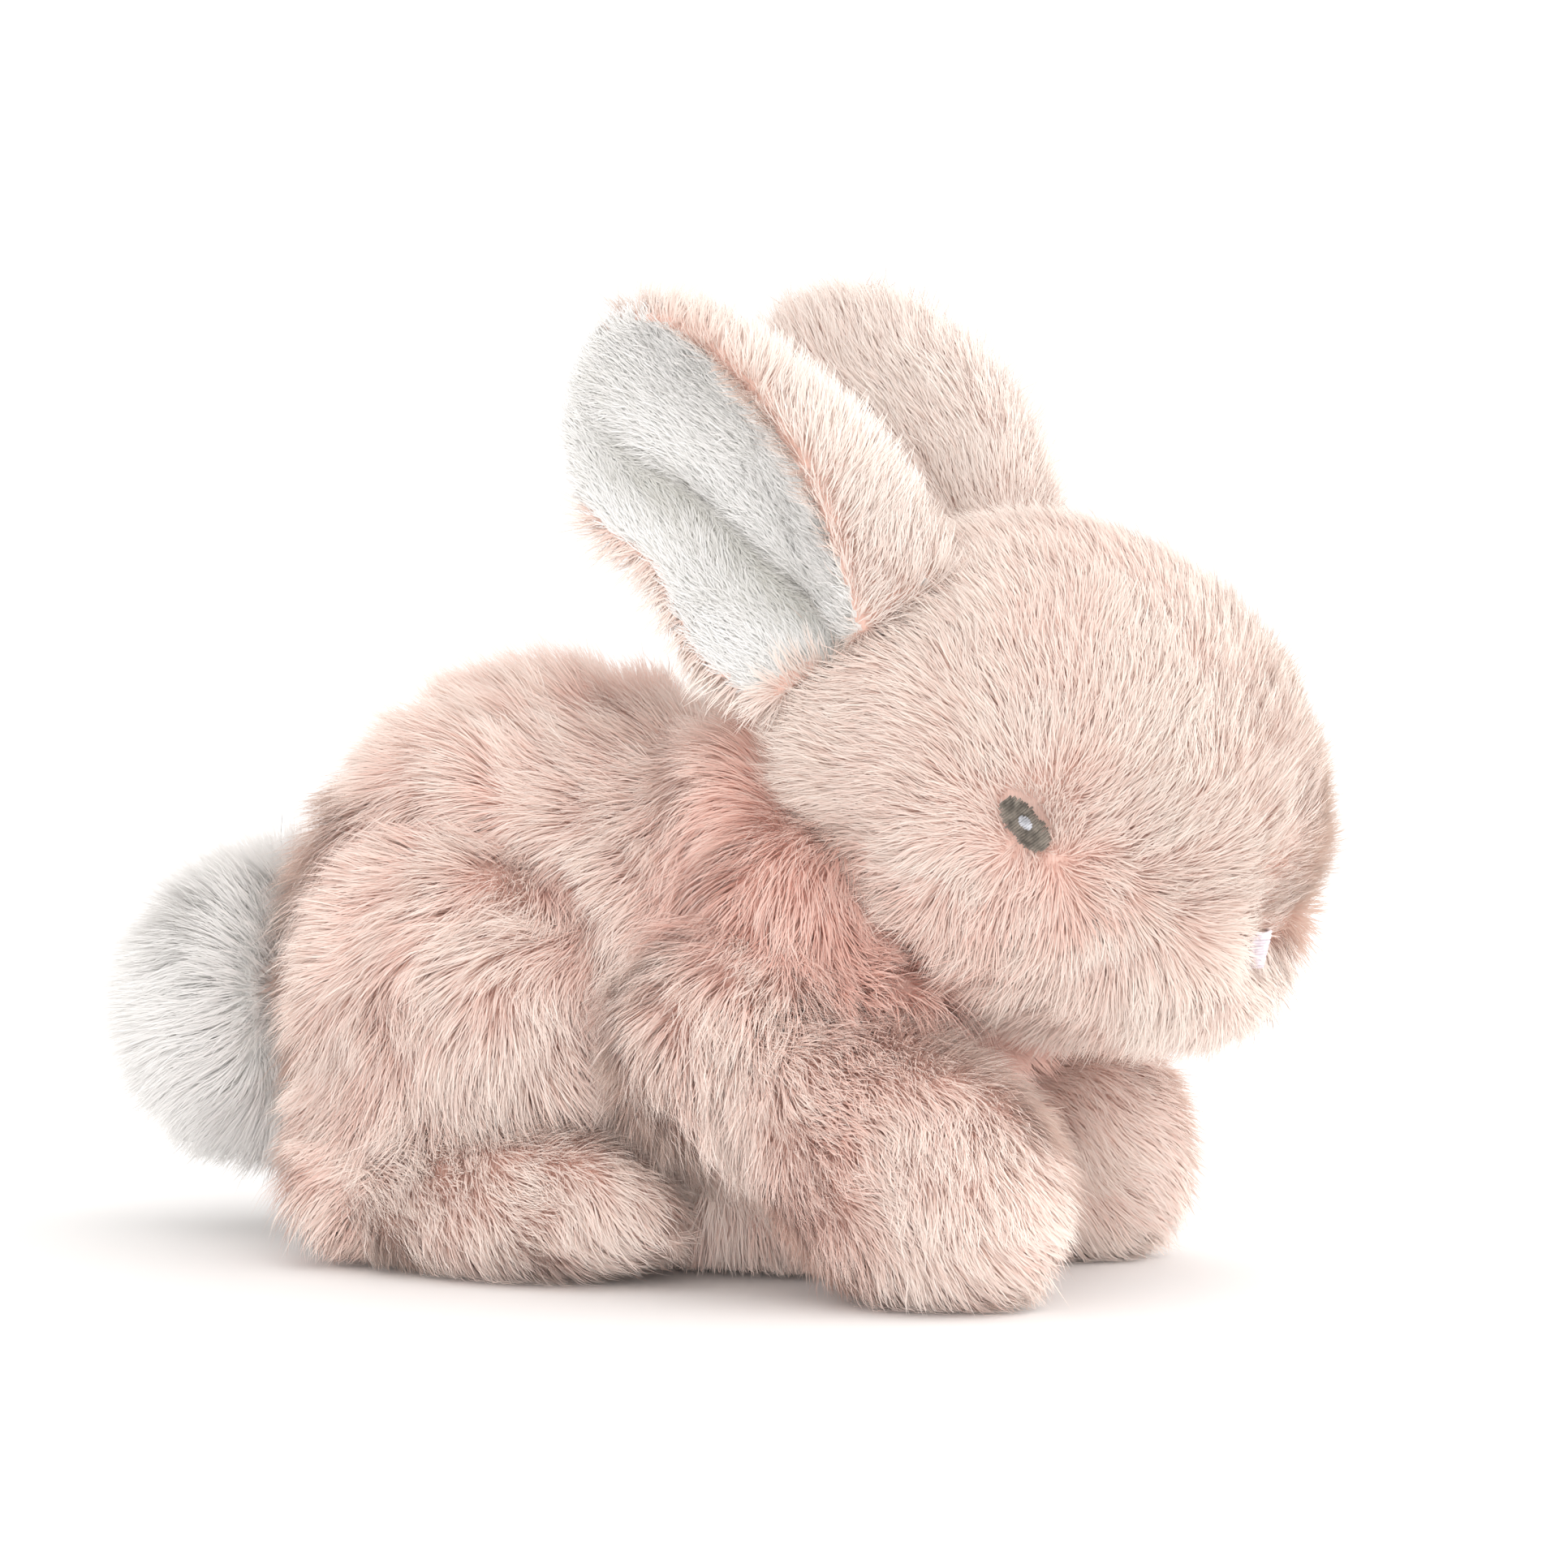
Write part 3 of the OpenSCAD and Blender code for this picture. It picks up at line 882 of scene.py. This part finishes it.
nose_low, nose_high = cad_points("nose").min(0), cad_points("nose").max(0)
rng = np.random.default_rng(6)
front = get_points(head)
front = front[(np.abs(front[:, 1]) < 3) & (np.abs(front[:, 2] - nose_centre[2]) < 3), 0].max()
nose_rows = []
for share in np.linspace(0.04, 0.96, 13):
    z = nose_high[2] + (nose_low[2] - nose_high[2]) * share
    half = (nose_high[1] - nose_low[1]) / 2 * math.sqrt(1 - share ** 1.6) + 0.3
    x = front + 1.8 - 1.0 * share
    nose_rows.append([
        np.array([x - 2.2 * s * s + 0.5 * (1 - s * s), s * half, z + rng.normal() * 0.05])
        for s in np.linspace(-1, 1, 7)
    ])
embroider("nose_stitches", nose_rows, 0.26, NOSE_THREAD, "head", ["nose"])

mouth_low, mouth_high = cad_points("mouth").min(0), cad_points("mouth").max(0)
fork = mouth_high[2] - (mouth_high[2] - mouth_low[2]) * 0.45
mouth_lines = []
for offset in (-0.25, 0.25):
    mouth_lines.append([
        np.array([front - 0.4 - 2.0 * s, offset,
                  mouth_high[2] + (fork - mouth_high[2]) * s])
        for s in np.linspace(0, 1, 5)
    ])
    for side in SIDES.values():
        mouth_lines.append([
            np.array([front - 2.4 - 3.0 * s, side * mouth_high[1] * s + offset,
                      fork + (mouth_low[2] - fork) * s])
            for s in np.linspace(0, 1, 5)
        ])
embroider("mouth_stitches", mouth_lines, 0.28, NOSE_THREAD, "head", ["mouth"])


# ---------------------------------------------------------------- neck

neck = skin("neck", ["neck_stuffing", "neck_seam"], voxel=1.2, inset=1.0, puff=0.4)
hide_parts("neck_stuffing", "neck_seam")
# The neck's pile is at the deepest tone: painted shade in the crease between head and torso.
pile(
    "pile_neck", "neck", Surface(neck), PINK_PILE, everywhere, comb=torso_comb, seed=58, length=4.5,
    tone=0.05,
)


# ---------------------------------------------------------------- paws, feet and tail

LIMBS = {
    # where its fur flows from, how far the stuffing moves it forward on the right and on the left
    "paw": ((4, 17, 46), 2.0, -4.0),
    "foot": ((-58, 16, 26), 0.0, 0.0),
}


def limb_shape(points, ahead, limb):
    """The whole limb lies ahead by so much. A foot is fuller on top, where it meets the haunch."""
    move = np.zeros_like(points)
    move[:, 0] = ahead
    if limb == "foot":
        move[:, 2] = 3.0 * smoothstep(8, 15, points[:, 2])
        move[:, 1] = np.sign(points[:, 1])
    return move


def limb_comb(start):
    """Away from the body to the tip, and down."""
    return lambda points, normals: unit(points - start) - UP * 0.25


def limb_shade_tone(points):
    """Pinker where a front paw comes out from under the chest: painted shade under the chest."""
    return 0.9 - 0.3 * smoothstep(50, 38, points[:, 0]) * smoothstep(18, 30, points[:, 0])


for number, side in enumerate(SIDES):
    for limb, ((x, y, z), right_ahead, left_ahead) in LIMBS.items():
        cover, body = f"{limb}_cover_{side}", f"{limb}_{side}"
        ahead = right_ahead if side == "right" else left_ahead
        form = skin(body, [cover, f"{limb}_stuffing_{side}"], voxel=1.8,
                    inset=1.6 if limb == "paw" else 1.0,
                    shape=lambda p, ahead=ahead, limb=limb: limb_shape(p, ahead, limb))
        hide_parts(f"{limb}_stuffing_{side}")
        pile(
            f"pile_{body}", body, Surface(form), PINK_PILE, everywhere,
            comb=limb_comb(np.array([x, y * SIDES[side], z])),
            seed=61 + number * 2 + (limb == "foot"), length=6.6 if limb == "paw" else 5.6,
            tone=limb_shade_tone, density=9, gather=0.7, lean=(30, 72), nodes=[cover],
        )

tail = skin("tail", ["tail_cover", "tail_stuffing", "tail_root"], voxel=1.8,
            backing=WHITE_BACKING, swells=[(tail_centre + FORWARD * 8, (13, 18, 18))])
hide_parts("tail_stuffing", "tail_root")


def tail_comb(points, normals):
    """Backwards and down."""
    return unit(points - tail_centre) * 0.3 - FORWARD - UP * 0.35


pile(
    "pile_tail", "tail", Surface(tail), WHITE_PILE, everywhere, comb=tail_comb, seed=72,
    length=7.8, tone=0.75, density=9, lean=(10, 48), swirl=0.5, gather=0.6,
    nodes=["tail_cover"],
)


# ---------------------------------------------------------------- ears

EAR_STEPS, EAR_ACROSS = 36, 30              # how many quads an ear's sheets have each way
EAR_ROLL = {"right": 12.0, "left": 5.0}     # how far an ear's back rolls over its front edge
EAR_LEAN = math.radians(8)                  # how far the ears lean out


def ear_axes(side):
    """The ear's pivot, its way up, its way across and the way its lining faces."""
    joint = JOINTS[f"ear_{side}_fold"]
    pivot = np.array(joint["pos_m"]) / MM
    across = unit(np.array(joint["axis"], float)) * -SIDES[side]
    rise = cad_points(f"ear_back_{side}").mean(0) - pivot
    up = unit(rise - across * (rise @ across))
    out = np.cross(across, up) * -SIDES[side]
    cos, sin = math.cos(EAR_LEAN), math.sin(EAR_LEAN)
    return pivot, up * cos + out * sin, across, out * cos - up * sin


def ear_measures(side):
    """The ear's length and half width, and how far its back bulges."""
    pivot, up, across, out = ear_axes(side)
    corners = cad_points(f"ear_back_{side}") - pivot
    return (corners @ up).max() + 0.4, np.ptp(corners @ across) / 2 - 0.8, -(corners @ out).min() - 3.0


def ear_outline(u):
    """Half the ear's breadth at u of its length, as a share of its widest."""
    tip = np.sqrt(np.maximum(0.0, 1 - (np.maximum(u - 0.58, 0) / 0.42) ** 2.2))
    root = 0.42 + 0.58 * np.sin(math.pi / 2 * np.minimum(u, 0.58) / 0.58)
    return np.where(u > 0.58, tip, root)


def ear_bell(u, root=0.16):
    """How fully the ear is cupped at u of its length."""
    return np.sin(math.pi * np.clip(root + (1 - root) * u, 0, 1)) ** 0.6


def ear_flare(u, v):
    """How strongly the ear's back edge turns outwards."""
    return smoothstep(0, 1, -v) * ear_bell(u, 0.25)


def ear_fold(u, v):
    """1 along the fold of the lining, which runs from the ear's root to its back edge."""
    return np.exp(-((v + 0.10 + 1.2 * u - 0.65 * u * u) / 0.15) ** 2) * smoothstep(0.95, 0.6, u)


def ear_over(u, v):
    """How far over towards its front edge the ear bends: its back edge flares and its tip leans."""
    back = smoothstep(0, 1, -v) * np.exp(-((u - 0.45) / 0.17) ** 2)
    return 6.5 * back - 5.5 * ear_flare(u, v) - 3.4 * smoothstep(0.3, 1, u)


def ear_front(u, v):
    """How far out and how far over the lining lies, at u along the ear and v across it."""
    out = 2.2 - 3.4 * (1 - v * v) * ear_bell(u) - 4.5 * ear_fold(u, v) + 5.5 * ear_flare(u, v)
    return out, ear_over(u, v)


def ear_rear(u, v, depth, roll):
    """How far out and how far over the ear's back lies. It rolls over towards the front edge."""
    round_back = np.sqrt(np.maximum(0, 1 - v * v)) * ear_bell(u, 0.36)
    out = 1.0 - (depth + 4 * (1 - u)) * round_back + 5.5 * ear_flare(u, v)
    return out, roll * (1 - u) * round_back * smoothstep(-0.7, 0.5, v) + ear_over(u, v)


class EarForm:
    """An ear's sheets of points, and where on them any point of its skin lies."""

    def __init__(self, side):
        self.turned = side == "right"     # its white lining shows past its rim
        self.pivot, self.up, self.across, self.out = ear_axes(side)
        length, width, depth = ear_measures(side)
        self.u, self.v = np.meshgrid(
            np.linspace(0, 1, EAR_STEPS + 1),
            np.sin(np.linspace(-math.pi / 2, math.pi / 2, EAR_ACROSS + 1)), indexing="ij")
        u, v = self.u, self.v
        sheets = []
        front, rear = ear_front(u, v), ear_rear(u, v, depth, EAR_ROLL[side])
        thick = 3.4 * np.sqrt(np.maximum(0, 1 - v * v)) * smoothstep(1.0, 0.9, u)
        front = (np.maximum(front[0], rear[0] + thick), front[1])
        self.between = (front[0] + rear[0]).ravel() / 2
        for out, over in (front, rear):
            sheets.append(
                self.pivot + self.up * (-3 + (length + 3) * u)[..., None]
                + self.across * (v * ear_outline(u) * width + over)[..., None]
                + self.out * out[..., None]
            )
        self.points = np.concatenate([sheet.reshape(-1, 3) for sheet in sheets])
        self.tree = KDTree(len(self.points))
        for i, point in enumerate(self.points):
            self.tree.insert(point, i)
        self.tree.balance()

    def place(self, points):
        """u, v and whether each point is on the lining's side."""
        found = np.array([self.tree.find(point)[1] for point in points], np.int64)
        sheet = self.u.size
        over = (points - self.pivot) @ self.out > self.between[found % sheet]
        u, v = self.u.ravel()[found % sheet], self.v.ravel()[found % sheet]
        return u, v, (found < sheet) | (over & (v < 0.25))

    def lined(self, points, normals):
        """True where the white lining covers the ear."""
        u, v, front = self.place(points)
        facing = normals @ self.out
        front = front | ((facing > 0.35) & (np.abs(v) < 0.85))
        front = front | ((facing > 0) & (np.abs(v + 0.3) < 0.55))
        inside = front & (v < 0.93 - 0.12 * smoothstep(0.1, 0.5, u)) & (v > -0.95)
        inside &= u > 0.03 * smoothstep(0.3, -0.5, v)
        back_rim = ((v <= -0.9) | (~front & (u > 0.88) & (v < -0.1))) & self.turned
        return (inside | (back_rim & (u > 0.68))) & ((u < 0.99) | (self.turned & (v < 0.4)))

    def comb(self, points, normals):
        """Along the ear and away from its front edge, and outwards from its lower back edge."""
        u, v, front = self.place(points)
        low_back = (smoothstep(-0.5, -0.9, v) * smoothstep(0.75, 0.45, u))[:, None]
        strip = (front & (v > 0))[:, None]
        rolled = (smoothstep(0.0, 0.9, v) * ~front)[:, None] * self.turned
        along = self.up * (0.9 - 0.3 * strip) + self.across * 0.8 * strip - self.out * 0.6 * rolled
        return along * (1 - low_back) + (self.out * 0.2 - self.across - self.up * 0.3) * low_back

    def lining_fold_shade(self, points):
        """Greyer down in the fold: painted shade in the fold of the lining."""
        u, v, _ = self.place(points)
        return 0.95 - 0.85 * ear_fold(u, v)


def ear_skin(side, form):
    """The ear's cover: a cupped leaf with a fold down its lining, closed round its rim."""
    points = form.points
    row, sheet = EAR_ACROSS + 1, (EAR_STEPS + 1) * (EAR_ACROSS + 1)
    faces = []
    for face in (0, 1):
        for i in range(EAR_STEPS):
            for j in range(EAR_ACROSS):
                a = face * sheet + i * row + j
                quad = [a, a + 1, a + row + 1, a + row]
                faces.append(quad if face == 0 else quad[::-1])
    for i in range(EAR_STEPS):
        for j, flip in ((0, False), (EAR_ACROSS, True)):
            a, b = i * row + j, sheet + i * row + j
            quad = [a, b, b + row, a + row]
            faces.append(quad[::-1] if flip else quad)
    for j in range(EAR_ACROSS):
        faces.append([j, sheet + j, sheet + j + 1, j + 1])
    made = new_object(f"ear_{side}_skin", points, faces)
    remesh = made.modifiers.new("remesh", "REMESH")
    remesh.mode, remesh.voxel_size = "VOXEL", 1.0 * MM
    apply_modifiers(made)
    smooth(made, 3)
    centres = np.array([face.center for face in made.data.polygons]) / MM
    normals = np.array([face.normal for face in made.data.polygons])
    white = form.lined(centres, normals)
    made.data.materials.clear()
    made.data.materials.append(PINK_BACKING)
    made.data.materials.append(WHITE_BACKING)
    for face, index in zip(made.data.polygons, white):
        face.use_smooth = True
        face.material_index = int(index)
    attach(made, f"ear_{side}")
    return made


for number, side in enumerate(SIDES):
    form = EarForm(side)
    ear = ear_skin(side, form)
    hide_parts(f"ear_root_{side}")
    surface = Surface(ear)
    pile(
        f"pile_ear_back_{side}", f"ear_{side}", surface, EAR_PILE,
        region=lambda p, n, form=form: ~form.lined(p, n), comb=form.comb, seed=81 + number,
        length=5.2, tone=0.92, lean=(24, 66), swirl=0.2, density=9, gather=0.4,
        nodes=[f"ear_back_{side}"],
    )
    pile(
        f"pile_ear_lining_{side}", f"ear_{side}", surface, LINING_PILE, region=form.lined,
        comb=lambda p, n, up=form.up: up + 0 * p, seed=91 + number, length=2.4,
        tone=form.lining_fold_shade, density=12, gather=0.2, lean=(38, 76), swirl=0.3,
        nodes=[f"ear_lining_{side}"],
    )


# ---------------------------------------------------------------- camera, floor and light

def set_camera():
    """The camera, at the photograph's viewing angle."""
    back = np.array([
        math.sin(VIEW_AZIMUTH) * math.cos(VIEW_ELEVATION),
        -math.cos(VIEW_AZIMUTH) * math.cos(VIEW_ELEVATION),
        math.sin(VIEW_ELEVATION),
    ])
    data = bpy.data.cameras.new("camera")
    data.lens, data.sensor_width = LENS, SENSOR
    data.clip_start, data.clip_end = 0.01, 20
    camera = bpy.data.objects.new("camera", data)
    camera.location = (VIEW_TARGET + back * VIEW_DISTANCE) * MM
    camera.rotation_euler = Vector(back).to_track_quat("Z", "Y").to_euler()
    bpy.context.scene.collection.objects.link(camera)
    bpy.context.scene.camera = camera


def add_light(name, place, aim, size, power):
    """A square soft light. Its place, its aim and its size are in metres, its power in watts."""
    data = bpy.data.lights.new(name, "AREA")
    data.shape, data.size, data.energy = "SQUARE", size, power
    light = bpy.data.objects.new(name, data)
    light.location = place
    light.rotation_euler = (Vector(place) - Vector(aim)).to_track_quat("Z", "Y").to_euler()
    bpy.context.scene.collection.objects.link(light)


def set_stage():
    """A plain pale floor and a warm white studio, with three soft lights."""
    half = 3000.0
    corners = [[x * half, y * half, 0] for x, y in ((-1, -1), (1, -1), (1, 1), (-1, 1))]
    floor = new_object("floor", corners, [[0, 1, 2, 3]])
    material, nodes, _ = new_material("floor")
    shader = nodes["Principled BSDF"]
    shader.inputs["Base Color"].default_value = (1.0, 1.0, 1.0, 1)
    shader.inputs["Roughness"].default_value = 0.9
    floor.data.materials.append(material)
    world = bpy.data.worlds.new("studio")
    world.use_nodes = True
    background = world.node_tree.nodes["Background"]
    background.inputs["Color"].default_value = (1, 0.97, 0.95, 1)
    background.inputs["Strength"].default_value = 1.12
    bpy.context.scene.world = world
    add_light("key", (0.7, -0.3, 1.1), (0, 0, 0.05), 1.0, 1.0)
    add_light("fill", (0.7, -1.3, 0.12), (0, 0, 0.0), 1.4, 9)
    add_light("side", (1.1, 0.5, 0.25), (0, 0, 0.03), 1.2, 11)
    bpy.context.scene.view_settings.view_transform = "Standard"


set_camera()
set_stage()
